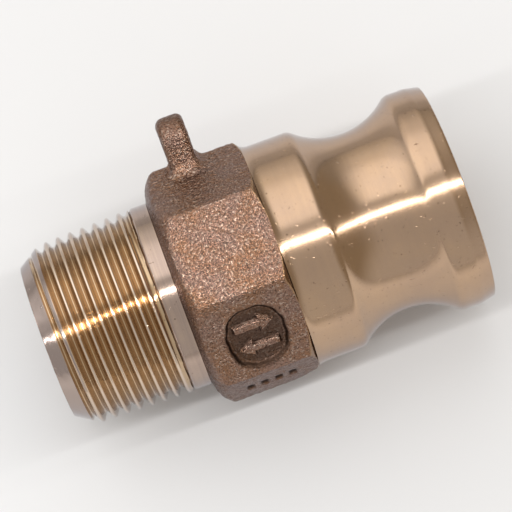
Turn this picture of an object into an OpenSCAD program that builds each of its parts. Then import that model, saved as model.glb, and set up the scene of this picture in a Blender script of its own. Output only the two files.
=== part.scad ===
// Cam-and-groove male adapter with a taper pipe thread, nominal 3/4 inch, cast in one piece
// and machined at both ends. Stations are measured from the threaded end along the flow axis;
// each module is built about +Z and then laid along +X with the sealing face at the origin.

/* [Overall] */
// Length from the threaded end face to the sealing face
total_l = 60.8; // [60:0.1:63]
// Radius of the flow bore
bore_r = 9.5; // [8:0.1:10]
// Chamfer at the threaded mouth of the bore
mouth_chamfer = 0.5; // [0.2:0.1:0.8]

/* [Pipe thread] */
// Crest radius at the small end of the taper
crest_r = 13.02; // [12.8:0.01:13.2]
// Depth of the thread
thread_depth = 1.1; // [1.0:0.01:1.3]
// Angle of a thread flank to the axis
flank_angle = 60; // [58:1:64]
// Distance between neighbouring crests
pitch = 1.8143; // [1.6:0.0001:2.0]
// Length of the threaded shank up to the collar
shank_l = 16.8; // [15:0.1:17.5]
// Width of the flat on each crest
crest_flat = 0.3; // [0.15:0.01:0.35]
// Radius of the end face, where the starting chamfer begins
start_r = 11.05; // [10.8:0.05:11.4]
// Angle of the starting chamfer to the axis
start_angle = 33; // [30:1:45]

/* [Collar] */
// Radius of the turned collar behind the thread
collar_r = 13.45; // [13.2:0.05:14]
// Chamfer on the collar's thread side
collar_chamfer = 0.3; // [0.1:0.05:0.5]

/* [Octagon body] */
// Station where the cast body begins
body_start = 19.5; // [19:0.1:20.5]
// Station where the cast body ends
body_end = 34.4; // [33.5:0.1:35]
// Width across opposite flats
across_flats = 32.1; // [31:0.1:33]
// Length of the steep nose on the thread side
nose_l = 0.6; // [0.3:0.05:0.9]
// Radius where the nose turns into the corner chamfer
nose_r = 15.45; // [15:0.05:15.8]
// Angle of the corner chamfers to the axis, at both ends
corner_angle = 54; // [45:1:60]

/* [Flow medallion] */
// Width of the oval recess along the flow axis
medallion_w = 8.5; // [8:0.1:9]
// Length of the oval recess across the flow axis
medallion_l = 9.9; // [9:0.1:10]
// Depth of the recess
medallion_depth = 0.75; // [0.4:0.05:1]
// Station of the recess centre
medallion_station = 27.5; // [26:0.1:28]
// Distance of the recess centre from the middle of its flat
medallion_shift = 0.68; // [0:0.02:1]
// Height of the raised arrows above the recess floor
mark_h = 0.6; // [0.3:0.05:0.7]
// Length of one arrow
arrow_l = 5.8; // [4:0.1:6]
// Width of one arrow's head
arrow_w = 2.6; // [1.8:0.1:2.8]
// Width of one arrow's shaft
arrow_shaft = 1.15; // [0.6:0.05:1.3]
// Distance from the recess centre to each arrow's middle line
arrow_offset = 1.75; // [1.4:0.05:1.9]

/* [Tally slots] */
// Number of sunk slots in the row
slot_count = 4; // [2:1:5]
// Width of one slot along the flow axis
slot_w = 1.35; // [0.8:0.05:1.4]
// Length of one slot across the flow axis
slot_l = 3.3; // [2:0.1:4]
// Depth of the slots
slot_depth = 0.4; // [0.2:0.05:0.6]
// Distance between neighbouring slots
slot_pitch = 2.05; // [1.8:0.05:2.2]

/* [Chain lug] */
// Station of the lug's middle plane
lug_station = 26.35; // [26:0.1:27]
// Thickness of the lug along the flow axis
lug_t = 4.0; // [3:0.1:4.5]
// Width of the lug across the flow axis
lug_w = 6.4; // [6:0.1:7]
// Distance from the flow axis to the lug's tip
lug_tip = 23.95; // [23.5:0.05:25]
// Radius of the eye through the lug
eye_r = 1.5; // [1:0.1:1.7]
// Radius along the rounded rim of the lug
lug_edge = 0.9; // [0.4:0.1:1.2]

/* [Cam head] */
// Radius of the turned land beside the body
land_r = 16.0; // [15.8:0.05:16.2]
// Height of the flare where the land runs into the body
flare_h = 0.35; // [0.2:0.05:0.5]
// Length of that flare
flare_l = 1.3; // [0.8:0.1:1.6]
// Station of the cam groove's middle
groove_station = 48.6; // [48:0.1:49]
// Radius of the groove's curved flank
groove_r = 10.2; // [9.8:0.1:10.6]
// Radius of the adapter at the bottom of the groove
groove_min_r = 13.1; // [12.9:0.1:13.4]
// Radius that blends the groove into the lands
shoulder_r = 1.8; // [1.2:0.1:2.2]
// Station where the lead-in chamfer begins
lead_station = 58.8; // [58.5:0.1:59.2]
// Angle of the lead-in chamfer to the axis
lead_angle = 20; // [15:1:24]
// Edge break between the lead-in and the sealing face
rim_break = 0.3; // [0.1:0.05:0.4]

/* [Hidden] */
$fn = 96;
overlap = 0.02;
corner_r = across_flats / 2 / cos(22.5);
flat_r = across_flats / 2;
outside_r = corner_r + overlap;
machined = [0.80, 0.63, 0.42];
as_cast = [0.50, 0.33, 0.21];

// thread form
taper = 1 / 32;
root_r = crest_r - thread_depth;
ridge_steps = 24;
ridge_sink = 0.08;
flank_run = thread_depth / tan(flank_angle);
sink_run = flank_run * ridge_sink / thread_depth;
ridge_turns = shank_l / pitch + 1.5;
ridge_count = ceil(ridge_turns * ridge_steps);
envelope_r = 15;
start_chamfer_l = (envelope_r - start_r) / tan(start_angle);

// places round the flow axis: 0 is +Y and 90 is +Z
lug_bearing = 22.5;
medallion_bearing = 135;
slot_bearing = 180;
eye_centre = lug_tip - lug_w / 2 - 0.2;
lug_foot = flat_r - 1;

// cam groove tangency
shoulder_centre_r = land_r - shoulder_r;
groove_centre_r = groove_min_r + groove_r;
shoulder_offset = sqrt(pow(groove_r + shoulder_r, 2) - pow(groove_centre_r - shoulder_centre_r, 2));
tangent_share = shoulder_r / (groove_r + shoulder_r);
tangent_offset = shoulder_offset * (1 - tangent_share);
tangent_r = shoulder_centre_r + tangent_share * (groove_centre_r - shoulder_centre_r);
flare_r = (pow(flare_l, 2) + pow(flare_h, 2)) / (2 * flare_h);
lead_drop = (total_l - lead_station) * tan(lead_angle);

// lays a module built about +Z along +X, with the sealing face at x = 0
module laid_along_axis() {
    translate([-total_l, 0, 0]) rotate([0, 90, 0]) children();
}

// places a module on a flat: its +Z points straight out and its +X towards the thread
module on_flat(bearing, radius, station) {
    rotate([0, 0, bearing + 90]) translate([radius, 0, station]) rotate([0, 90, 0]) children();
}

// the plain octagon between two stations, with flats at every 45 degrees
module octagon(from, to) {
    translate([0, 0, from]) rotate([0, 0, 22.5]) cylinder(r = corner_r, h = to - from, $fn = 8);
}

// the flow bore between two stations, open at both ends
module bore(from, to) {
    translate([0, 0, from - 1]) cylinder(r = bore_r, h = to - from + 2);
}

// lengthwise section of the body's envelope: x is the radius and y is the station
module envelope_section() {
    edge = [[collar_r, body_start], [nose_r, body_start + nose_l],
            [outside_r, body_start + nose_l + (outside_r - nose_r) / tan(corner_angle)],
            [outside_r, body_end - (outside_r - land_r - flare_h) / tan(corner_angle)],
            [land_r + flare_h, body_end]];
    polygon(concat(edge, [for (i = [len(edge) - 1 : -1 : 0]) [-edge[i][0], edge[i][1]]]));
}

// sixteen-sided envelope with flat bevels, whose sides face the flats and the corners
module body_envelope() {
    intersection_for (turn = [0 : 22.5 : 157.5])
        rotate([90, 0, turn]) linear_extrude(2 * outside_r, center = true) envelope_section();
}

// ring profile: x is the radius and y is the station
module ring(points) {
    rotate_extrude() polygon(points);
}

// one cross-section of the thread ridge, at step i of the helix
function ridge_radius(i) = root_r - ridge_sink + taper * pitch * i / ridge_steps;
function ridge_section(i) =
    let (angle = 360 * i / ridge_steps,
         station = pitch * (i / ridge_steps - 1),
         foot = ridge_radius(i),
         top = foot + ridge_sink + thread_depth,
         half_top = crest_flat / 2,
         half_foot = half_top + flank_run + sink_run)
    [for (corner = [[foot, -half_foot], [top, -half_top], [top, half_top], [foot, half_foot]])
        [corner[0] * cos(angle), corner[0] * sin(angle), station + corner[1]]];

// right-hand helical ridge, closed with a flat at each end
module thread_ridge() {
    points = [for (i = [0 : ridge_count]) each ridge_section(i)];
    sides = [for (i = [0 : ridge_count - 1], k = [0 : 3])
                let (a = 4 * i + k, b = 4 * i + (k + 1) % 4)
                each [[a, b, a + 4], [b, b + 4, a + 4]]];
    last = 4 * ridge_count;
    polyhedron(points, concat([[3, 2, 1, 0]], sides, [[last, last + 1, last + 2, last + 3]]));
}

module threaded_shank() {
    color(machined) laid_along_axis() difference() {
        union() {
            ring([[0, 0], [start_r, 0], [root_r, (root_r - start_r) / tan(start_angle)],
                  [root_r + taper * shank_l, shank_l], [0, shank_l]]);
            intersection() {
                thread_ridge();
                ring([[bore_r, 0], [start_r, 0], [envelope_r, start_chamfer_l],
                      [envelope_r, shank_l], [bore_r, shank_l]]);
            }
        }
        bore(0, shank_l);
        translate([0, 0, -overlap])
            cylinder(r1 = bore_r + mouth_chamfer, r2 = bore_r, h = mouth_chamfer);
    }
}

module turned_collar() {
    color(machined) laid_along_axis() ring([
        [bore_r, shank_l], [collar_r - collar_chamfer, shank_l],
        [collar_r, shank_l + collar_chamfer], [collar_r, body_start], [bore_r, body_start]]);
}

// round-ended slot, cut to its depth from outside
module tally_slot() {
    straight = slot_l - slot_w;
    translate([-slot_w / 2, -straight / 2, 0]) cube([slot_w, straight, slot_depth + 1]);
    for (end = [-1, 1]) translate([0, end * straight / 2, 0])
        cylinder(r = slot_w / 2, h = slot_depth + 1);
}

// oval recess, cut to its depth from outside
module medallion_recess() {
    straight = medallion_l - medallion_w;
    translate([-medallion_w / 2, -straight / 2, 0])
        cube([medallion_w, straight, medallion_depth + 1]);
    for (end = [-1, 1]) translate([0, end * straight / 2, 0])
        cylinder(r = medallion_w / 2, h = medallion_depth + 1);
}

module octagon_body() {
    color(as_cast) laid_along_axis() difference() {
        intersection() {
            octagon(body_start, body_end);
            body_envelope();
        }
        bore(body_start, body_end);
        on_flat(medallion_bearing, flat_r - medallion_depth, medallion_station)
            translate([0, medallion_shift, 0]) medallion_recess();
        for (i = [0 : slot_count - 1])
            on_flat(slot_bearing, flat_r - slot_depth,
                    medallion_station + slot_pitch * (i - (slot_count - 1) / 2)) tally_slot();
    }
}

// flat arrow along +X, centred on the origin
module arrow() {
    neck = arrow_l / 2 - arrow_w * 0.8;
    linear_extrude(mark_h) polygon([
        [-arrow_l / 2, -arrow_shaft / 2], [neck, -arrow_shaft / 2], [neck, -arrow_w / 2],
        [arrow_l / 2, 0],
        [neck, arrow_w / 2], [neck, arrow_shaft / 2], [-arrow_l / 2, arrow_shaft / 2]]);
}

// two arrows side by side, pointing opposite ways
module flow_mark() {
    color(as_cast) laid_along_axis()
        on_flat(medallion_bearing, flat_r - medallion_depth, medallion_station)
            translate([0, medallion_shift, 0]) for (turn = [0, 180])
                rotate([0, 0, turn]) translate([0, arrow_offset, 0]) arrow();
}

// disc across the flow axis with both rims chamfered
module lug_disc(radius) {
    cylinder(r = radius - lug_edge, h = lug_t, center = true, $fn = 32);
    cylinder(r = radius, h = lug_t - 2 * lug_edge, center = true, $fn = 32);
}

module chain_lug() {
    color(as_cast) laid_along_axis() difference() {
        rotate([0, 0, lug_bearing + 90]) translate([0, 0, lug_station]) hull() {
            translate([lug_tip - lug_w / 2, 0, 0]) lug_disc(lug_w / 2);
            translate([lug_foot - lug_w / 2, 0, 0]) lug_disc(lug_w / 2);
        }
        octagon(body_start, body_end);
        rotate([0, 0, lug_bearing + 90]) translate([eye_centre, 0, lug_station])
            cylinder(r = eye_r, h = lug_t + 2, center = true);
    }
}

// half section of the cam head: x is the radius and y is the station
module head_section() {
    difference() {
        union() {
            polygon([[bore_r, body_end], [land_r + flare_h, body_end],
                     [land_r + flare_h, body_end + flare_l / 2], [land_r, body_end + flare_l],
                     [land_r, groove_station - shoulder_offset],
                     [shoulder_centre_r, groove_station - shoulder_offset],
                     [tangent_r, groove_station - tangent_offset],
                     [tangent_r, groove_station + tangent_offset],
                     [shoulder_centre_r, groove_station + shoulder_offset],
                     [land_r, groove_station + shoulder_offset],
                     [land_r, lead_station],
                     [land_r - lead_drop + rim_break, total_l - rim_break],
                     [land_r - lead_drop, total_l],
                     [bore_r, total_l]]);
            for (side = [-1, 1])
                translate([shoulder_centre_r, groove_station + side * shoulder_offset])
                    circle(r = shoulder_r);
        }
        translate([groove_centre_r, groove_station]) circle(r = groove_r);
        translate([land_r + flare_r, body_end + flare_l]) circle(r = flare_r);
    }
}

module cam_head() {
    color(machined) laid_along_axis() rotate_extrude() head_section();
}

threaded_shank();
turned_collar();
octagon_body();
chain_lug();
flow_mark();
cam_head();
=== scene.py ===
"""Looks for a cast bronze cam-and-groove male adapter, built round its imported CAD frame.

Stations are millimetres from the threaded end face along the flow axis. Bearings go round that
axis, from 0 at +Y to a quarter turn at +Z: named ones are in degrees and arrays in radians.
place() turns stations, radii and bearings into metres in the shared frame.
"""

import math

import bpy
import numpy as np
from mathutils import Matrix, Vector, noise


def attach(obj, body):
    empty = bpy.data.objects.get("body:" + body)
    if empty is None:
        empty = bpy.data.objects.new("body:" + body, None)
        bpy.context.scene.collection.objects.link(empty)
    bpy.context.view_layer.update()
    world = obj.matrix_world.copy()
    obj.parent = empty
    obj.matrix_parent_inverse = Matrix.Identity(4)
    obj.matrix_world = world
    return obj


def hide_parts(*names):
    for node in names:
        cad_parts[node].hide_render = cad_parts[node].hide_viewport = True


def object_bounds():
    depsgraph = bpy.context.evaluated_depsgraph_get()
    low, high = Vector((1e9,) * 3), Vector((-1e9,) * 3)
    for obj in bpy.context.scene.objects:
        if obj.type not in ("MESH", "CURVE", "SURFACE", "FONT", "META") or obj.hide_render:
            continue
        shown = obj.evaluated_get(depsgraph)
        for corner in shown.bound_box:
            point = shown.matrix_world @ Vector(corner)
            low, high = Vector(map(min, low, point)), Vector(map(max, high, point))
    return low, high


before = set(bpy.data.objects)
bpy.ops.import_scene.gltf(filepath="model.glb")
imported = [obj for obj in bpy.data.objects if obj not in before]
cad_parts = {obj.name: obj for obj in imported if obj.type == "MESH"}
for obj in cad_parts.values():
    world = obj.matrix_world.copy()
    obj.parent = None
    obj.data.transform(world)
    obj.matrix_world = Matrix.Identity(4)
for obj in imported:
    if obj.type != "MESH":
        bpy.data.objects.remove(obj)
cad_low, cad_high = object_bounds()

MM = 0.001

# ---------------------------------------------------------------- driving sizes, as in part.scad
TOTAL_L = 60.8
BORE_R = 9.5
MOUTH_CHAMFER = 0.5
SHANK_L = 16.8
BODY_START = 19.5
BODY_END = 34.4
ACROSS_FLATS = 32.1
FLAT_R = ACROSS_FLATS / 2
CORNER_R = FLAT_R / math.cos(math.radians(22.5))

CREST_R = 13.02
PITCH = 1.8143
TAPER = 1 / 32
START_R = 11.05
START_ANGLE = math.radians(33)
COLLAR_R = 13.45

MEDALLION_BEARING = 135
MEDALLION_STATION = 27.5
MEDALLION_SHIFT = 0.68
MEDALLION_HALF = (4.25, 4.95)
MEDALLION_DEPTH = 0.75

SLOT_BEARING = 180
SLOT_COUNT = 4
SLOT_W = 1.35
SLOT_L = 3.3
SLOT_DEPTH = 0.4
SLOT_PITCH = 2.05

LUG_BEARING = 22.5
LUG_STATION = 26.35
LUG_T = 4.0
LUG_W = 6.4
LUG_TIP = 23.95
EYE_R = 1.5
EYE_CENTRE = 20.55

LAND_R = 16.0
FLARE_H = 0.35
FLARE_L = 1.3
GROOVE_STATION = 48.6
GROOVE_R = 10.2
GROOVE_MIN_R = 13.1
SHOULDER_R = 1.8
LEAD_STATION = 58.8

# ---------------------------------------------------------------- camera
VIEW_ELEVATION = math.radians(77.2)
VIEW_ROLL = math.radians(20.3)
VIEW_YAW = math.radians(1.2)
VIEW_DISTANCE = 400.0
VIEW_STATION = 31.4
VIEW_RISE = 1.17
LENS_MM = 201.0

toward_camera = Vector((0, -math.cos(VIEW_ELEVATION), math.sin(VIEW_ELEVATION)))
up_image = Vector((0, math.sin(VIEW_ELEVATION), math.cos(VIEW_ELEVATION)))


def on_axis(station):
    """Point on the flow axis, in metres."""
    return Vector(((station - TOTAL_L) * MM, 0, 0))


def make_camera():
    """The camera stands nearly overhead and a little towards the thread, rolled so +X rises."""
    data = bpy.data.cameras.new("camera")
    camera = bpy.data.objects.new("camera", data)
    bpy.context.scene.collection.objects.link(camera)
    data.lens = LENS_MM
    data.sensor_width = 36
    data.clip_start = 0.01
    data.clip_end = 20
    target = on_axis(VIEW_STATION) + up_image * VIEW_RISE * MM
    back = (toward_camera + Vector((-math.tan(VIEW_YAW), 0, 0))).normalized()
    flat_right = up_image.cross(back).normalized()
    flat_up = back.cross(flat_right)
    right = flat_right * math.cos(VIEW_ROLL) - flat_up * math.sin(VIEW_ROLL)
    up = flat_right * math.sin(VIEW_ROLL) + flat_up * math.cos(VIEW_ROLL)
    place = target + back * VIEW_DISTANCE * MM
    camera.matrix_world = Matrix((
        (right.x, up.x, back.x, place.x),
        (right.y, up.y, back.y, place.y),
        (right.z, up.z, back.z, place.z),
        (0, 0, 0, 1)))
    bpy.context.scene.camera = camera


# ---------------------------------------------------------------- mesh helpers
def place(station, radius, bearing):
    """Arrays of station, radius (mm) and bearing (radians) to points in metres."""
    station, radius, bearing = np.broadcast_arrays(station, radius, bearing)
    return np.stack([(station - TOTAL_L) * MM,
                     radius * np.cos(bearing) * MM,
                     radius * np.sin(bearing) * MM], axis=-1)


def place_upright(station, outward, across, bearing):
    """Points in metres that stand out from the axis at a bearing (degrees); sizes in mm."""
    station, outward, across = np.broadcast_arrays(station, outward, across)
    lean = math.radians(bearing)
    return np.stack([(station - TOTAL_L) * MM,
                     (outward * math.cos(lean) - across * math.sin(lean)) * MM,
                     (outward * math.sin(lean) + across * math.cos(lean)) * MM], axis=-1)


def turn_from(bearing, middle):
    """Turn in radians from the middle (degrees) to a bearing, at most half a turn either way."""
    return (bearing - math.radians(middle) + math.pi) % (2 * math.pi) - math.pi


def new_piece(name, points, faces, material, sharp=math.radians(38)):
    """Mesh object from points in metres, smooth except where faces meet at a sharp angle."""
    mesh = bpy.data.meshes.new(name)
    mesh.from_pydata([tuple(p) for p in points], [], faces)
    mesh.validate()
    mesh.update()
    mesh.shade_smooth()
    mesh.set_sharp_from_angle(angle=sharp)
    mesh.materials.append(material)
    piece = bpy.data.objects.new(name, mesh)
    bpy.context.scene.collection.objects.link(piece)
    return piece


def ring_faces(rows, columns, closed_rows=True):
    """Quads of a grid that closes round its columns, and round its rows too if asked."""
    faces = []
    for i in range(rows if closed_rows else rows - 1):
        a = i * columns
        b = (i + 1) % rows * columns
        for j in range(columns):
            k = (j + 1) % columns
            faces.append((a + j, b + j, b + k, a + k))
    return faces


def arc(centre, radius, start, end, steps):
    """Points of an arc in the (station, radius) plane; angles in radians."""
    angles = np.linspace(start, end, steps)
    return [(centre[0] + radius * math.cos(a), centre[1] + radius * math.sin(a)) for a in angles]


def rounded(points, radius, steps=5):
    """Closed outline of (station, radius) corners, each softened by an arc of about radius."""
    out = []
    count = len(points)
    for i in range(count):
        before, here, after = (Vector(points[(i + d) % count]) for d in (-1, 0, 1))
        inward, onward = (before - here), (after - here)
        reach = min(radius, inward.length * 0.45, onward.length * 0.45)
        a = here + inward.normalized() * reach
        b = here + onward.normalized() * reach
        for t in np.linspace(0, 1, steps):
            out.append(tuple(a * (1 - t) ** 2 + here * 2 * t * (1 - t) + b * t * t))
    return out


def refined(points, longest):
    """Closed outline with its long stretches cut so that no step is longer than longest."""
    out = []
    for i, here in enumerate(points):
        after = points[(i + 1) % len(points)]
        gap = math.dist(here, after)
        if gap < 1e-6:
            continue
        pieces = max(1, math.ceil(gap / longest))
        for k in range(pieces):
            t = k / pieces
            out.append((here[0] + (after[0] - here[0]) * t, here[1] + (after[1] - here[1]) * t))
    return out


def turned(name, outline, material, around=256, wobble=None):
    """Solid turned from a closed outline of (station, radius) points."""
    stations = np.array([p[0] for p in outline])[:, None]
    radii = np.array([p[1] for p in outline])[:, None]
    bearings = np.linspace(0, 2 * math.pi, around, endpoint=False)[None, :]
    if wobble is not None:
        radii = radii + wobble(*np.broadcast_arrays(stations, radii, bearings))
    points = place(stations, radii, bearings).reshape(-1, 3)
    return new_piece(name, points, ring_faces(len(outline), around), material)


def smooth_step(low, high, value):
    """Eased rise from 0 at low to 1 at high."""
    t = np.clip((value - low) / (high - low), 0, 1)
    return t * t * (3 - 2 * t)


def fields(points, *specs):
    """Sum of Perlin noise over points in metres; each spec is (grain size in mm, height)."""
    total = np.zeros(len(points))
    for size, height in specs:
        scaled = points / (size * MM)
        total += height * np.array([noise.noise(Vector(p)) for p in scaled])
    return total


def mark(piece, name, values):
    """Stores one number a vertex, for a material to read."""
    attribute = piece.data.attributes.new(name, "FLOAT", "POINT")
    attribute.data.foreach_set("value", np.asarray(values, np.float32).ravel())


# ---------------------------------------------------------------- materials
class Nodes:
    """Short calls for building one node tree."""

    def __init__(self, tree):
        self.tree = tree

    def add(self, kind, inputs=None, **settings):
        node = self.tree.nodes.new(kind)
        for key, value in settings.items():
            setattr(node, key, value)
        for key, value in (inputs or {}).items():
            self.put(node, key, value)
        return node

    def put(self, node, key, value):
        """Links a socket to an input, or sets the input to a plain value."""
        if isinstance(value, bpy.types.NodeSocket):
            self.tree.links.new(value, node.inputs[key])
        else:
            node.inputs[key].default_value = value

    def ramp(self, value, stops, interpolation="LINEAR"):
        """Colour ramp; stops are (place, colour or grey), in rising order."""
        node = self.add("ShaderNodeValToRGB", {"Fac": value})
        node.color_ramp.interpolation = interpolation
        elements = node.color_ramp.elements
        elements.remove(elements[1])
        elements[0].position = stops[0][0]
        for at, _ in stops[1:]:
            elements.new(at)
        for element, (_, tone) in zip(elements, stops):
            colour = (tone, tone, tone) if isinstance(tone, (int, float)) else tone
            element.color = (*colour, 1)
        return node.outputs["Color"]

    def eased(self, value, low, high):
        """Smooth rise from 0 at low to 1 at high; low may be the larger."""
        node = self.add("ShaderNodeMapRange", {"Value": value, "From Min": low, "From Max": high},
                        interpolation_type="SMOOTHSTEP")
        return node.outputs["Result"]

    def maths(self, operation, a, b=0.0):
        return self.add("ShaderNodeMath", {0: a, 1: b}, operation=operation).outputs["Value"]

    def plus(self, a, b):
        return self.maths("ADD", a, b)

    def times(self, a, b):
        return self.maths("MULTIPLY", a, b)

    def hypot(self, a, b):
        return self.maths("SQRT", self.plus(self.times(a, a), self.times(b, b)))

    def mixed(self, share, a, b):
        """Mix of two colours: a where share is 0 and b where it is 1."""
        node = self.add("ShaderNodeMix", data_type="RGBA")
        self.put(node, 0, share)
        self.put(node, 6, a if isinstance(a, bpy.types.NodeSocket) else (*a, 1))
        self.put(node, 7, b if isinstance(b, bpy.types.NodeSocket) else (*b, 1))
        return node.outputs[2]


class Surface(Nodes):
    """Short calls for building one procedural material."""

    def __init__(self, name):
        self.material = bpy.data.materials.new(name)
        self.material.use_nodes = True
        super().__init__(self.material.node_tree)
        self.shader = self.tree.nodes["Principled BSDF"]
        self.object_place = self.add("ShaderNodeTexCoord").outputs["Object"]

    def shade(self, **values):
        """Sets the shader's inputs; an underscore stands for a space in the input's name."""
        for key, value in values.items():
            self.put(self.shader, key.replace("_", " "), value)

    def split_place(self):
        split = self.add("ShaderNodeSeparateXYZ", {"Vector": self.object_place})
        return split.outputs["X"], split.outputs["Y"], split.outputs["Z"]

    def noise(self, scale, detail, roughness, where=None):
        """Noise over the object's own place; scale is in cells per metre."""
        node = self.add("ShaderNodeTexNoise", {
            "Vector": where or self.object_place, "Scale": scale, "Detail": detail,
            "Roughness": roughness})
        return node.outputs["Fac"]

    def bump(self, height, distance, strength, normal=None):
        """Bump of a height that spans a distance in metres, on top of another bump if given."""
        node = self.add("ShaderNodeBump", {
            "Height": height, "Distance": distance, "Strength": strength})
        if normal is not None:
            self.put(node, "Normal", normal)
        return node.outputs["Normal"]

    def attribute(self, name):
        return self.add("ShaderNodeAttribute", attribute_name=name).outputs["Fac"]


def dimmed(tone, *shares):
    """A colour with each channel multiplied by its share."""
    return tuple(channel * share for channel, share in zip(tone, shares))


def thread_tones(nodes, tone, colour):
    """Bright worn crests, a brown darkening of the flanks that is grime and painted shade, and a duller
    start chamfer and end face.
    """
    colour = nodes.mixed(nodes.times(nodes.attribute("worn"), 0.75), colour, (0.74, 0.62, 0.53))
    colour = nodes.mixed(nodes.times(nodes.attribute("grime_and_shade"), 0.12), colour,
                         dimmed(tone, 0.50, 0.38, 0.22))
    return nodes.mixed(nodes.attribute("start"), colour, (0.38, 0.30, 0.26))


def machined_bronze(name, tone, roughness, streaks, threaded=False):
    """Lathe-turned bronze: fine turning lines, soft tarnish clouds, tiny pits and nicks."""
    nodes = Surface(name)
    x, y, z = nodes.split_place()
    # turning lines: noise squeezed along the axis and stretched round it
    around = nodes.add("ShaderNodeCombineXYZ", {
        "X": nodes.plus(x, nodes.times(nodes.hypot(y, z), 0.8)),
        "Y": nodes.times(y, 0.02),
        "Z": nodes.times(z, 0.02)}).outputs["Vector"]
    fine = nodes.noise(7000, 2, 0.6, around)
    broad = nodes.noise(1300, 3, 0.6, around)
    clouds = nodes.noise(150, 4, 0.6)
    specks = nodes.noise(2300, 1, 0.5)

    cloudy = nodes.mixed(nodes.ramp(clouds, [(0.38, 0.0), (0.62, 1.0)]), tone,
                         dimmed(tone, 0.92, 0.93, 0.98))
    streaky = nodes.times(nodes.ramp(broad, [(0.42, 0.0), (0.62, 1.0)]), streaks)
    lined = nodes.mixed(streaky, cloudy, dimmed(tone, 0.80, 0.80, 0.86))
    dark_specks = nodes.times(nodes.ramp(specks, [(0.235, 1.0), (0.28, 0.0)]), 0.8)
    colour = nodes.mixed(dark_specks, lined, dimmed(tone, 0.40, 0.33, 0.28))
    if threaded:
        colour = thread_tones(nodes, tone, colour)

    unevenness = nodes.plus(nodes.times(broad, 0.06), nodes.times(clouds, 0.08))
    rough = nodes.plus(unevenness, roughness - 0.07)
    lines = nodes.bump(fine, 0.000004, 0.5)
    waves = nodes.bump(nodes.noise(420, 2, 0.5), 0.00002, 0.4, lines)
    nicks = nodes.ramp(nodes.noise(1500, 1, 0.5), [(0.70, 0.0), (0.78, 1.0)])
    surface = nodes.bump(nicks, 0.00003, 0.8, waves)
    nodes.shade(Base_Color=colour, Roughness=rough, Normal=surface)
    # the coat stands for the thin film of oil and tarnish, which keeps bright glints white
    nodes.shade(Metallic=1.0, Specular_Tint=(0.66, 0.67, 0.72, 1), Coat_Weight=0.6, Coat_Roughness=0.06)
    return nodes.material


def cast_bronze(name):
    """Sand-cast bronze skin: dark oxide between the grains and worn metal on their tops."""
    nodes = Surface(name)
    fine = nodes.noise(5600, 2, 0.5)
    grain = nodes.noise(3000, 1.5, 0.5)
    patches = nodes.noise(260, 4, 0.6)
    grime_and_shade = nodes.attribute("grime_and_shade")
    turned_share = nodes.attribute("turned")

    skin = nodes.mixed(nodes.ramp(patches, [(0.40, 0.0), (0.60, 1.0)]),
                       (0.262, 0.158, 0.118), (0.272, 0.145, 0.085))
    tops = nodes.mixed(nodes.ramp(grain, [(0.52, 0.0), (0.70, 0.8)]), skin, (0.50, 0.38, 0.305))
    pits = nodes.mixed(nodes.ramp(fine, [(0.34, 0.95), (0.46, 0.0)]), tops, (0.035, 0.019, 0.014))
    # near black where the mark is high: painted shade in the recess, on its rim, in the slots and round
    # the arrows, with some grime
    grimed_and_shaded = nodes.mixed(grime_and_shade, pits, (0.045, 0.025, 0.016))
    colour = nodes.mixed(turned_share, grimed_and_shaded, (0.36, 0.22, 0.12))

    rough = nodes.plus(nodes.times(fine, -0.18), 0.26)
    rough = nodes.plus(rough, nodes.times(grime_and_shade, 0.25))
    # the grain fades where the surface is turned, and where the mark of grime and painted shade is high
    calm = nodes.plus(turned_share, nodes.times(grime_and_shade, 0.9))
    lift = nodes.maths("MAXIMUM", nodes.maths("SUBTRACT", 1.0, calm), 0.0)
    small = nodes.bump(nodes.times(fine, lift), 0.00008, 1.0)
    surface = nodes.bump(nodes.times(grain, lift), 0.00017, 1.0, small)
    nodes.shade(Base_Color=colour, Roughness=rough, Normal=surface)
    nodes.shade(Metallic=0.92, Specular_Tint=(0.75, 0.75, 0.78, 1))
    return nodes.material


# ---------------------------------------------------------------- threaded shank
THREAD_ROWS_PER_TURN = 20
THREAD_COLUMNS = 200
CREST_ROUND = 0.26
ROOT_ROUND = 0.2
FLANK_ANGLE = math.radians(60)
RUN_OUT_L = 1.3
# station of the first crest at bearing 0; it is 0.79 at a bearing of 12.8 degrees
CREST_STATION = 0.79 - PITCH * 12.8 / 360
HIDDEN_ROWS = 34
# shares of the hidden rows at which they reach the bore, its chamfer and the end face
AT_BORE = 0.16
AT_CHAMFER = 0.62
AT_END_FACE = 0.70


def thread_drop(from_crest):
    """Depth below the crest, at a distance along the axis from it: two rounds and a flank."""
    crest_end = CREST_ROUND * math.sin(FLANK_ANGLE)
    root_start = PITCH / 2 - ROOT_ROUND * math.sin(FLANK_ANGLE)
    round_drop = 1 - math.cos(FLANK_ANGLE)
    slope = math.tan(FLANK_ANGLE)
    depth = (CREST_ROUND + ROOT_ROUND) * round_drop + (root_start - crest_end) * slope
    from_root = PITCH / 2 - from_crest
    crest = CREST_ROUND - np.sqrt(np.clip(CREST_ROUND ** 2 - from_crest ** 2, 0, None))
    flank = CREST_ROUND * round_drop + (from_crest - crest_end) * slope
    root = depth - ROOT_ROUND + np.sqrt(np.clip(ROOT_ROUND ** 2 - from_root ** 2, 0, None))
    return np.where(from_crest < crest_end, crest, np.where(from_crest > root_start, root, flank))


THREAD_DEPTH = float(thread_drop(np.array(PITCH / 2)))


def thread_radius(station, phase):
    """Radius of the thread at a station; phase is 0 at a crest and 0.5 at a root."""
    from_crest = np.abs((phase + 0.5) % 1 - 0.5) * PITCH
    run_out = 1 - 0.7 * smooth_step(SHANK_L - RUN_OUT_L, SHANK_L, station)
    drop = thread_drop(PITCH / 2 - np.abs(PITCH / 2 - from_crest))
    return CREST_R + TAPER * station - drop * run_out


def stretch(share, start, end):
    """How far share has come from start to end, from 0 to 1."""
    return np.clip((share - start) / (end - start), 0, 1)


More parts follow.
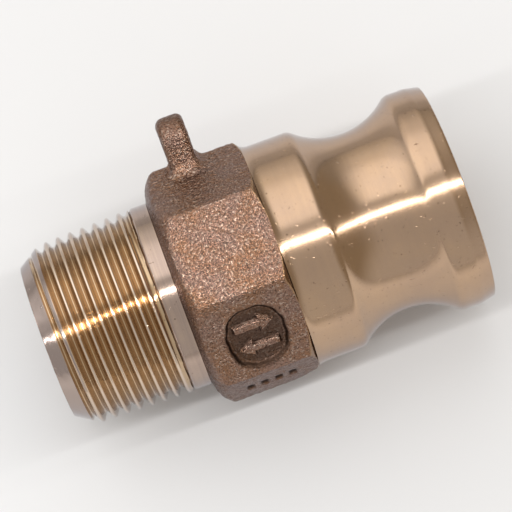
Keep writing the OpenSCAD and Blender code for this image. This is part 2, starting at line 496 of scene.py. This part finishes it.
def return_path(share, station, radius):
    """Where the hidden rows go: across the hidden face, back along the bore and out over its mouth."""
    radius = np.where(share > 0, radius + (BORE_R - radius) * stretch(share, 0, AT_BORE), radius)
    back = SHANK_L + (MOUTH_CHAMFER - SHANK_L) * stretch(share, AT_BORE, AT_CHAMFER)
    station = np.where(share > AT_BORE, back, station)
    opened = MOUTH_CHAMFER * stretch(share, AT_CHAMFER, AT_END_FACE)
    station = np.where(share > AT_CHAMFER, MOUTH_CHAMFER - opened, station)
    radius = np.where(share > AT_CHAMFER, BORE_R + opened, radius)
    mouth_r = BORE_R + MOUTH_CHAMFER
    end_face = mouth_r + (START_R - mouth_r) * stretch(share, AT_END_FACE, 1)
    return station, np.where(share > AT_END_FACE, end_face, radius)


def helix_faces(rows):
    """Quads of a closed grid whose last column joins the first one a full turn further on."""
    faces = []
    for i in range(rows):
        for j in range(THREAD_COLUMNS):
            last = j == THREAD_COLUMNS - 1
            k = 0 if last else j + 1
            shift = THREAD_ROWS_PER_TURN if last else 0
            a = i * THREAD_COLUMNS + j
            b = (i + 1) % rows * THREAD_COLUMNS + j
            c = (i + 1 + shift) % rows * THREAD_COLUMNS + k
            d = (i + shift) % rows * THREAD_COLUMNS + k
            faces.append((a, b, c, d))
    return faces


def threaded_shank(material):
    """Taper thread whose rows follow the helix, then close the solid along the bore."""
    step = PITCH / THREAD_ROWS_PER_TURN
    rows = math.ceil(SHANK_L / step) + HIDDEN_ROWS
    hidden = rows * step - SHANK_L
    row = np.arange(rows)[:, None]
    bearing = np.linspace(0, 2 * math.pi, THREAD_COLUMNS, endpoint=False)[None, :]
    along = (row * step + PITCH * bearing / (2 * math.pi)) % (rows * step)
    share = np.clip((along - SHANK_L) / hidden, 0, 1)
    seen = share == 0

    station = np.minimum(along, SHANK_L)
    outer = thread_radius(station, row / THREAD_ROWS_PER_TURN - CREST_STATION / PITCH)
    chamfer = START_R + station * math.tan(START_ANGLE)
    radius = np.minimum(outer, chamfer)
    depth = (CREST_R + TAPER * station - radius) / THREAD_DEPTH
    cut = (chamfer > outer) & seen
    # the flanks' mark, for a darker brown that is grime and painted shade
    grime_and_shade = np.clip(1 - np.abs(depth - 0.55) / 0.42, 0, 1) * cut
    worn_crest = np.clip(1 - depth / 0.06, 0, 1) * cut
    start = (seen & (chamfer <= outer)) | (share > AT_CHAMFER)

    station, radius = return_path(share, station, radius)
    points = place(station, radius, bearing).reshape(-1, 3)
    uneven = fields(points, (0.9, 0.016), (5.0, 0.10)).reshape(radius.shape) * seen
    points = place(station, radius + uneven, bearing).reshape(-1, 3)
    piece = new_piece("threaded_shank_cut", points, helix_faces(rows), material, math.radians(50))
    mark(piece, "grime_and_shade", grime_and_shade)
    mark(piece, "worn", worn_crest)
    mark(piece, "start", start)
    return piece


# ---------------------------------------------------------------- collar and cam head
# the lead-in is worn, so it leans a little less than the lead_angle of part.scad
WORN_LEAD_ANGLE = math.radians(17)
RIM_ROUND = 2.6
EDGE_ROUND = 0.25
EDGE_BREAK = 0.15


def collar(material):
    """Plain turned band with a small bevel beside the thread."""
    outline = rounded([(SHANK_L, BORE_R), (SHANK_L, COLLAR_R - 0.35), (SHANK_L + 0.4, COLLAR_R),
                       (BODY_START, COLLAR_R), (BODY_START, BORE_R)], 0.08)
    return turned("turned_collar_ring", refined(outline, 0.5), material, 256)


def head_outline():
    """Closed outline of the cam head, from the bore round the outside and back."""
    land_top = LAND_R - SHOULDER_R
    groove_centre = (GROOVE_STATION, GROOVE_MIN_R + GROOVE_R)
    reach = math.sqrt((GROOVE_R + SHOULDER_R) ** 2 - (groove_centre[1] - land_top) ** 2)
    lean = math.atan2(groove_centre[1] - land_top, reach)
    flare_r = (FLARE_L ** 2 + FLARE_H ** 2) / (2 * FLARE_H)
    flare_turn = math.asin(FLARE_L / flare_r)
    up = math.pi / 2
    drop = (TOTAL_L - LEAD_STATION) * math.tan(WORN_LEAD_ANGLE)
    outline = [(BODY_END, BORE_R)]
    outline += arc((BODY_END + FLARE_L, LAND_R + flare_r), flare_r, -up - flare_turn, -up, 12)
    outline += arc((GROOVE_STATION - reach, land_top), SHOULDER_R, up, lean, 14)
    outline += arc(groove_centre, GROOVE_R, math.pi + lean, 2 * math.pi - lean, 60)
    outline += arc((GROOVE_STATION + reach, land_top), SHOULDER_R, math.pi - lean, up, 14)
    rim_centre = (LEAD_STATION - RIM_ROUND * math.tan(WORN_LEAD_ANGLE / 2), LAND_R - RIM_ROUND)
    outline += arc(rim_centre, RIM_ROUND, up, up - WORN_LEAD_ANGLE, 9)
    edge_centre = (TOTAL_L - EDGE_ROUND, LAND_R - drop - EDGE_ROUND * 0.3)
    outline += arc(edge_centre, EDGE_ROUND, up - WORN_LEAD_ANGLE, 0, 6)
    outline += [(TOTAL_L, BORE_R + EDGE_BREAK), (TOTAL_L - EDGE_BREAK, BORE_R)]
    return outline


def head_wobble(station, radius, bearing):
    """Soft unevenness of the turned outside, in mm."""
    slow = 0.006 * np.sin(3 * bearing + 0.7 * station) + 0.004 * np.sin(7 * bearing - 1.1 * station)
    return np.where(radius > BORE_R + 0.5, slow, 0)


def cam_head(material):
    """Turned head: flared land, cam groove, rim and lead-in."""
    return turned("cam_head_turned", refined(head_outline(), 0.35), material, 320, head_wobble)


# ---------------------------------------------------------------- octagon body
BODY_COLUMNS = 760
BODY_ROWS = 108
# the rows stand closer over the first stretch, where the body narrows to the collar
CLOSE_ROWS = 14
CLOSE_L = 0.7
OVAL_POWER = 2.4
# bearings of the side where the head's cone bites deepest and of the corner with a long bevel
LOW_SIDE = 193
LONG_CORNER = 202.5
LUG_FILLET = {"thread": 0.55, "head": 1.5, "side": 1.8}
# the cast skin's unevenness, as (grain size, height) in mm
SAND_GRAINS = ((5.0, 0.06), (1.6, 0.04), (0.55, 0.07), (0.33, 0.05))


def soft_min(a, b, width):
    """Smaller of a and b, eased where they are within width of each other."""
    h = np.clip(width - np.abs(a - b), 0, None) / width
    return np.minimum(a, b) - h * h * width / 4


def stadium(across, along, width, length):
    """Distance outside a round-ended slot, negative inside it."""
    straight = (length - width) / 2
    return np.hypot(across, along - np.clip(along, -straight, straight)) - width / 2


def oval_size(along, across):
    """Size of the squarish oval through a point, as a share of the recess's."""
    half_along, half_across = MEDALLION_HALF
    total = np.abs(along / half_along) ** OVAL_POWER + np.abs(across / half_across) ** OVAL_POWER
    return total ** (1 / OVAL_POWER)


def recess_reach(along, across):
    """Distance outside the recess's wavy rim, negative inside it."""
    size = oval_size(along, across)
    turn = np.arctan2(across, along)
    wave = 0.05 * np.sin(7 * turn + 0.6) + 0.045 * np.sin(12 * turn + 2.0)
    return (size - 1) * np.hypot(along, across) / np.clip(size, 0.05, None) + wave


def flat_place(bearing, flat_bearing):
    """Distance across a flat at a bearing, and where that flat is."""
    turn = turn_from(bearing, flat_bearing)
    near = np.abs(turn) < math.radians(22.5)
    return FLAT_R * np.tan(np.where(near, turn, 0)), near


def lug_swell(station, bearing):
    """Height of the fillet that the body rises into at the lug's foot."""
    turn = turn_from(bearing, LUG_BEARING)
    across = CORNER_R * np.sin(turn)
    facing = np.abs(turn) < math.radians(60)
    along = station - LUG_STATION
    corner = 0.9
    side = np.abs(across) - (LUG_W / 2 - corner)
    end = np.abs(along) - (LUG_T / 2 - corner)
    gap = np.hypot(np.clip(side, 0, None), np.clip(end, 0, None)) - corner
    end_radius = np.where(along < 0, LUG_FILLET["thread"], LUG_FILLET["head"])
    lean = np.arctan2(np.clip(side, 0, None), np.clip(end, 1e-6, None)) / (math.pi / 2)
    radius = end_radius + (LUG_FILLET["side"] - end_radius) * lean
    inner = np.clip(radius - np.clip(gap, 0, None), 0, None)
    height = radius - np.sqrt(np.clip(radius ** 2 - inner ** 2, 0, None))
    return np.where(facing, np.minimum(height, 0.75 * radius), 0)


def octagon_radius(bearing):
    """Radius of a plain octagon with eased corners."""
    eighth = math.pi / 4
    nearest = np.round(bearing / eighth)
    first = FLAT_R / np.cos(bearing - nearest * eighth)
    beside = nearest + np.where(bearing > nearest * eighth, 1, -1)
    second = FLAT_R / np.cos(bearing - beside * eighth)
    return soft_min(first, second, 0.3)


def head_side_radius(station, bearing):
    """Radius of the turned cone beside the head, which bites deeper on the low side."""
    cone = LAND_R + FLARE_H + (BODY_END - station) * 1.4
    off_centre = 0.16 * (1 + np.cos(turn_from(bearing, LOW_SIDE)))
    return np.maximum(cone - off_centre, LAND_R + 0.06)


def slot_share(station, bearing):
    """How far the surface is sunk into the tally slots, from 0 to 1."""
    across, near = flat_place(bearing, SLOT_BEARING)
    share = np.zeros_like(across)
    for i in range(SLOT_COUNT):
        along = station - MEDALLION_STATION - SLOT_PITCH * (i - (SLOT_COUNT - 1) / 2)
        gap = stadium(along, across, SLOT_W, SLOT_L)
        share = np.maximum(share, np.where(near, 1 - smooth_step(-0.32, 0.05, gap), 0))
    return share


def body_radius(station, bearing):
    """Outside radius of the body, how sunk it is, how much grime and painted shade darken it, and how
    much of it is left as cast.
    """
    from_start = station - BODY_START
    # from the collar the body widens by a steep slope and then a gentler one
    thread_side = soft_min(COLLAR_R + 3.3 * from_start, 14.6 + 1.4 * from_start, 0.5)
    radius = soft_min(octagon_radius(bearing), thread_side, 0.8)
    # one corner has a long, shallow bevel towards the head
    long_turn = turn_from(bearing, LONG_CORNER)
    long_corner = 16.35 + 0.36 * (BODY_END - station) + 9 * (1 - np.cos(long_turn))
    radius = soft_min(radius, long_corner, 0.3)
    head_side = head_side_radius(station, bearing)
    cast = smooth_step(-0.02, 0.16, head_side - radius)
    radius = soft_min(radius, head_side, 0.1)

    across, near = flat_place(bearing, MEDALLION_BEARING)
    reach = recess_reach(station - MEDALLION_STATION, across - MEDALLION_SHIFT)
    recess = np.where(near, 1 - smooth_step(-0.42, 0.08, reach), 0)
    # painted shade in a ring just inside the recess's rim, where its wall lies
    rim_shade = np.where(near, np.exp(-((reach + 0.12) / 0.22) ** 2), 0)
    _, slot_flat = flat_place(bearing, SLOT_BEARING)
    slots = slot_share(station, bearing)
    radius = radius - MEDALLION_DEPTH * recess - SLOT_DEPTH * slots + lug_swell(station, bearing)
    # painted shade darkens the slot face, which looks away from the soft box; the body is also darker
    # over its first 0.6 to 1.7 mm beside the collar
    slot_face_shade_and_collar_band = 0.2 * slot_flat * cast + 0.3 * (1 - smooth_step(0.6, 1.7, from_start))
    # the recess floor and the slots are darkened, painted shade with some grime
    grime_and_shade = np.clip(slot_face_shade_and_collar_band + 0.55 * recess + 0.85 * rim_shade + slots, 0, 1)
    return radius, grime_and_shade, cast


def octagon_body(material):
    """Cast octagon, with the recess and the slots pressed into its surface."""
    bearing = np.linspace(0, 2 * math.pi, BODY_COLUMNS, endpoint=False)[None, :]
    close_end = BODY_START + CLOSE_L
    outer = np.concatenate([np.linspace(BODY_START, close_end, CLOSE_ROWS, endpoint=False),
                            np.linspace(close_end, BODY_END, BODY_ROWS - CLOSE_ROWS)])[:, None]
    station, around = np.broadcast_arrays(outer, bearing)
    radius, grime_and_shade, cast = body_radius(station, around)
    # the solid closes across the head's side, back along the bore and across the thread's side
    inward = np.linspace(0, 1, 8)[1:, None]
    last = radius[-1:] + (BORE_R - radius[-1:]) * inward
    back = np.linspace(BODY_END, BODY_START, 10)[1:, None] + 0 * bearing
    outward = np.linspace(0, 1, 8)[1:-1, None]
    first = BORE_R + (radius[:1] - BORE_R) * outward
    stations = np.concatenate([station, BODY_END + 0 * last, back, BODY_START + 0 * first])
    radii = np.concatenate([radius, last, BORE_R + 0 * back, first])
    points = place(stations, radii, bearing).reshape(-1, 3)
    faces = ring_faces(len(stations), BODY_COLUMNS)
    piece = new_piece("octagon_body_cast", points, faces, material, math.radians(60))
    unseen = np.zeros((len(radii) - BODY_ROWS, BODY_COLUMNS))
    mark(piece, "grime_and_shade", np.concatenate([grime_and_shade, unseen]))
    mark(piece, "turned", np.concatenate([1 - cast, unseen]))
    from_edge = np.minimum(outer - BODY_START, BODY_END - outer) / 0.3
    roughen(piece, np.concatenate([cast * np.clip(from_edge, 0, 1), unseen]).ravel())
    return piece


def roughen(piece, amount):
    """Pushes the surface in and out along its normals, as sand grains leave it."""
    mesh = piece.data
    count = len(mesh.vertices)
    points, normals = np.empty(count * 3), np.empty(count * 3)
    mesh.vertices.foreach_get("co", points)
    mesh.vertices.foreach_get("normal", normals)
    points, normals = points.reshape(-1, 3), normals.reshape(-1, 3)
    lift = fields(points, *SAND_GRAINS) - 0.02
    points = points + normals * (lift * amount * MM)[:, None]
    mesh.vertices.foreach_set("co", points.ravel())
    mesh.update()


# ---------------------------------------------------------------- chain lug
LUG_COLUMNS = 132
LUG_ROOT_R = CORNER_R - 3.4
EYE_EDGE = 0.25
# rounding of the rim on the head's side (1) and on the thread's side (-1)
LUG_ROUND = {1: 0.95, -1: 1.2}


def lug_outline(turn, inset):
    """Distance from the eye's centre to the lug's rim in the direction turn, less an inset."""
    half = LUG_W / 2 - inset
    tip_centre = LUG_TIP - LUG_W / 2 - EYE_CENTRE
    foot = LUG_ROOT_R - EYE_CENTRE
    x, y = np.cos(turn), np.sin(turn)
    lean = tip_centre * x
    round_end = lean + np.sqrt(np.clip(lean ** 2 - tip_centre ** 2 + half ** 2, 0, None))
    sides = half / np.clip(np.abs(y), 1e-6, None)
    bottom = foot / np.clip(x, None, -1e-6)
    straight = np.minimum(sides, bottom)
    return np.where(round_end * x > tip_centre, round_end, straight)


def lug_face(side, turn):
    """Loops from the eye over one face to the rim's full width; each is (distance, station)."""
    half = LUG_T / 2
    eye = EYE_R + EYE_EDGE
    outer = lug_outline(turn, LUG_ROUND[side])
    loops = [(eye + (outer - eye) * t, half * side) for t in np.linspace(0, 1, 16)[1:-1]]
    for angle in np.linspace(0, math.pi / 2, 8):
        inset = LUG_ROUND[side] * (1 - math.sin(angle))
        drop = LUG_ROUND[side] * (1 - math.cos(angle))
        loops.append((lug_outline(turn, inset), side * (half - drop)))
    return loops


def chain_lug(material):
    """A flat tab with a round end and rounded rims, holed along the flow axis."""
    turn = np.linspace(0, 2 * math.pi, LUG_COLUMNS, endpoint=False)[None, :]
    half = LUG_T / 2
    # each of the eye's edges is a slim lip over a small undercut
    eye_near = []
    for angle in np.linspace(0, math.pi / 2, 4):
        distance = EYE_R + EYE_EDGE * (1 - math.sin(angle))
        eye_near.append((distance + 0 * turn, half - EYE_EDGE + EYE_EDGE * math.sin(angle)))
    wall_stations = np.linspace(half - LUG_ROUND[1], LUG_ROUND[-1] - half, 12)[1:-1]
    wall = [(lug_outline(turn, 0), s) for s in wall_stations]
    eye_far = [(r, -s) for r, s in reversed(eye_near)]
    eye_stations = np.linspace(EYE_EDGE - half, half - EYE_EDGE, 14)[1:-1]
    eye_wall = [(EYE_R + 0 * turn, s) for s in eye_stations]
    loops = eye_near + lug_face(1, turn) + wall + lug_face(-1, turn)[::-1] + eye_far + eye_wall
    distance = np.concatenate([loop[0] for loop in loops])
    along = np.array([loop[1] for loop in loops])[:, None]
    points = place_upright(LUG_STATION + along, EYE_CENTRE + distance * np.cos(turn),
                           distance * np.sin(turn), LUG_BEARING).reshape(-1, 3)
    faces = ring_faces(len(loops), LUG_COLUMNS)
    piece = new_piece("chain_lug_cast", points, faces, material, math.radians(70))
    mark(piece, "grime_and_shade", np.full(len(points), 0.3))
    roughen(piece, np.full(len(points), 0.45))
    return piece


# ---------------------------------------------------------------- medallion with two arrows
ARROW_L = 5.8
ARROW_W = 2.6
ARROW_SHAFT = 1.15
ARROW_OFFSET = 1.75
MARK_H = 0.6
# gap round the plate under the arrows, its thickness and its rise above the recess's floor
PLATE_GAP = 0.2
PLATE_THICKNESS = 0.5
PLATE_RISE = 0.03


def arrow_height(along, across):
    """Soft-edged height, 0 to 1, of an arrow that points along +along."""
    neck = ARROW_L / 2 - ARROW_W * 0.8
    shaft = np.maximum(np.abs(across) - ARROW_SHAFT / 2,
                       np.maximum(along - neck - 0.3, -ARROW_L / 2 - along))
    slope = (ARROW_W / 2) / (ARROW_L / 2 - neck)
    head = np.maximum((np.abs(across) - (ARROW_L / 2 - along) * slope) / math.hypot(1, slope),
                      neck - along)
    return 1 - smooth_step(-0.22, 0.16, np.minimum(shaft, head))


def flow_mark(material):
    """The recess's floor with its raised arrows, one closed plate set into the recess."""
    spokes, rings = 240, 56
    turn = np.linspace(0, 2 * math.pi, spokes, endpoint=False)[None, :]
    rim = 1 / oval_size(np.cos(turn), np.sin(turn)) - PLATE_GAP
    share = np.linspace(0, 1, rings)[1:, None]
    along = share * rim * np.cos(turn)
    across = share * rim * np.sin(turn)
    raised = np.maximum(arrow_height(-along, across - ARROW_OFFSET),
                        arrow_height(along, across + ARROW_OFFSET))
    floor = FLAT_R - MEDALLION_DEPTH + PLATE_RISE
    height = floor + MARK_H * raised - 0.1 * smooth_step(0.86, 0.96, share)

    def on_flat(along, across, height):
        return place_upright(MEDALLION_STATION + along, height, across + MEDALLION_SHIFT,
                             MEDALLION_BEARING).reshape(-1, 3)

    top = on_flat(along, across, height)
    under = on_flat(along[-1:], across[-1:], floor - PLATE_THICKNESS)
    centre = on_flat(0, 0, floor)
    points = np.concatenate([top, under, centre])
    hub = len(points) - 1
    base = (rings - 1) * spokes
    faces = ring_faces(rings, spokes, closed_rows=False)
    faces += [(hub, j, (j + 1) % spokes) for j in range(spokes)]
    faces.append(tuple(base + j for j in reversed(range(spokes))))
    piece = new_piece("flow_mark_relief", points, faces, material, math.radians(60))
    # painted shadow round the arrows' feet, and painted shade with some grime over the floor between
    # them
    foot = np.exp(-((raised - 0.15) / 0.2) ** 2) * (raised < 0.6)
    grime_and_shade = np.clip(0.5 * (1 - raised) + 0.4 * foot, 0, 1)
    mark(piece, "grime_and_shade", np.concatenate([grime_and_shade.ravel(), np.full(spokes + 1, 0.5)]))
    roughen(piece, np.concatenate([np.full(len(top), 0.8), np.zeros(spokes), [0.8]]))
    return piece


# ---------------------------------------------------------------- lights and floor
# brightness of the soft box along the flow axis and across it, as (share of its size, brightness)
BOX_ALONG = [(0.0, 0.0), (0.61, 1.0), (0.80, 1.0), (1.0, 0.0)]
BOX_ACROSS = [(0.0, 0.0), (0.13, 1.0), (0.48, 1.0), (0.634, 0.60), (0.85, 0.26), (1.0, 0.0)]
ROOM_TONE = (0.62, 0.61, 0.61)
# sides of the room with a tone of their own: axis, where it begins, where it is full, tone
ROOM_SIDES = [("X", 0.1, 0.8, (0.38, 0.33, 0.26)),
              ("Y", 0.5, 0.95, (0.42, 0.39, 0.34)),
              ("Y", -0.5, -0.95, (0.68, 0.67, 0.66))]
# station that the lights face
LIT_STATION = 30


def light_direction(swing):
    """Unit vector from the part, swung from the camera's line; positive goes down the image."""
    a = math.radians(swing)
    return (toward_camera * math.cos(a) - up_image * math.sin(a)).normalized()


def panel(name, swing, distance, breadth, along, shift, radiance):
    """Soft panel facing the part: breadth lies across the flow axis and along lies with it."""
    data = bpy.data.lights.new(name, "AREA")
    data.shape = "RECTANGLE"
    data.size = along
    data.size_y = breadth
    data.energy = radiance * 4 * along * breadth
    lamp = bpy.data.objects.new(name, data)
    bpy.context.scene.collection.objects.link(lamp)
    outward = light_direction(swing)
    side = Vector((1, 0, 0))
    across = outward.cross(side).normalized()
    spot = on_axis(LIT_STATION) + outward * distance + side * shift
    lamp.matrix_world = Matrix((
        (side.x, across.x, outward.x, spot.x),
        (side.y, across.y, outward.y, spot.y),
        (side.z, across.z, outward.z, spot.z),
        (0, 0, 0, 1)))
    lamp.visible_camera = False
    return data


def fade_edges(data, along, across):
    """Lets a panel fade towards its edges, by a brightness profile along it and one across."""
    data.use_nodes = True
    nodes = Nodes(data.node_tree)
    spot = nodes.add("ShaderNodeNewGeometry").outputs["Parametric"]
    split = nodes.add("ShaderNodeSeparateXYZ", {"Vector": spot})
    strength = nodes.times(nodes.ramp(split.outputs["X"], along, "EASE"),
                           nodes.ramp(split.outputs["Y"], across, "EASE"))
    emission = next(n for n in data.node_tree.nodes if n.type == "EMISSION")
    nodes.put(emission, "Strength", strength)


def make_lights():
    """A large soft box that fades towards its edges, and a narrow strip."""
    box = panel("softbox", swing=-65, distance=0.50, breadth=1.0, along=1.9, shift=-0.55, radiance=0.84)
    fade_edges(box, BOX_ALONG, BOX_ACROSS)
    panel("strip", swing=-7.4, distance=0.32, breadth=0.017, along=3.2, shift=0.0, radiance=15.0)


def make_room():
    """Soft light from all round, with its own tone on some sides."""
    world = bpy.data.worlds.new("world")
    world.use_nodes = True
    nodes = Nodes(world.node_tree)
    direction = nodes.add("ShaderNodeTexCoord").outputs["Generated"]
    split = nodes.add("ShaderNodeSeparateXYZ", {"Vector": direction})
    tone = ROOM_TONE
    for axis, low, high, side_tone in ROOM_SIDES:
        tone = nodes.mixed(nodes.eased(split.outputs[axis], low, high), tone, side_tone)
    nodes.put(world.node_tree.nodes["Background"], "Color", tone)
    bpy.context.scene.world = world


def floor_paper(name):
    """Matt paper: light grey round the part as a painted shade, paler in front of it and darker behind
    it.
    """
    nodes = Surface(name)
    x, y, _ = nodes.split_place()
    along = nodes.times(nodes.plus(x, 0.03), 0.75)
    # the grey round the part is a painted shade, which dims what the metal reflects of the floor near
    # it
    away = nodes.eased(nodes.hypot(along, y), 0.055, 0.13)
    behind = nodes.eased(y, -0.05, 0.12)
    far = nodes.mixed(behind, (0.86, 0.855, 0.85), (0.46, 0.455, 0.45))
    nodes.shade(Base_Color=nodes.mixed(away, (0.72, 0.72, 0.72), far), Roughness=0.9)
    return nodes.material


def make_floor(material):
    """A pale round table far wider than the part."""
    around = 96
    level = cad_low.z
    points = [(0, 0, level)]
    for reach in (0.1, 0.4, 2.5):
        for turn in np.linspace(0, 2 * math.pi, around, endpoint=False):
            points.append((reach * math.cos(turn), reach * math.sin(turn), level))
    faces = [(0, 1 + j, 1 + (j + 1) % around) for j in range(around)]
    for a in (1, 1 + around):
        b = a + around
        faces += [(a + j, b + j, b + (j + 1) % around, a + (j + 1) % around) for j in range(around)]
    floor = new_piece("floor", points, faces, material, math.radians(80))


# ---------------------------------------------------------------- putting it together
def finish_piece(piece, slot, *nodes):
    """Ties a piece to the part's one body and hides the CAD nodes that it replaces; slot is not used.
    """
    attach(piece, "root")
    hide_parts(*nodes)


scene = bpy.context.scene
scene.view_settings.view_transform = "Standard"
scene.view_settings.look = "None"

make_camera()
make_lights()
make_room()
make_floor(floor_paper("floor_paper"))

thread_metal = machined_bronze("machined_bronze_thread", tone=(0.57, 0.40, 0.235), roughness=0.155,
                               streaks=0.2, threaded=True)
collar_metal = machined_bronze("machined_bronze_collar", tone=(0.465, 0.345, 0.265), roughness=0.15,
                               streaks=0.8)
head_metal = machined_bronze("machined_bronze_head", tone=(0.51, 0.34, 0.212), roughness=0.158,
                             streaks=0.15)
cast_metal = cast_bronze("cast_bronze_skin")

finish_piece(threaded_shank(thread_metal), "machined_bronze", "threaded_shank")
finish_piece(collar(collar_metal), "machined_bronze", "turned_collar")
finish_piece(octagon_body(cast_metal), "cast_bronze", "octagon_body")
finish_piece(chain_lug(cast_metal), "cast_bronze", "chain_lug")
finish_piece(flow_mark(cast_metal), "cast_bronze", "flow_mark")
finish_piece(cam_head(head_metal), "machined_bronze", "cam_head")
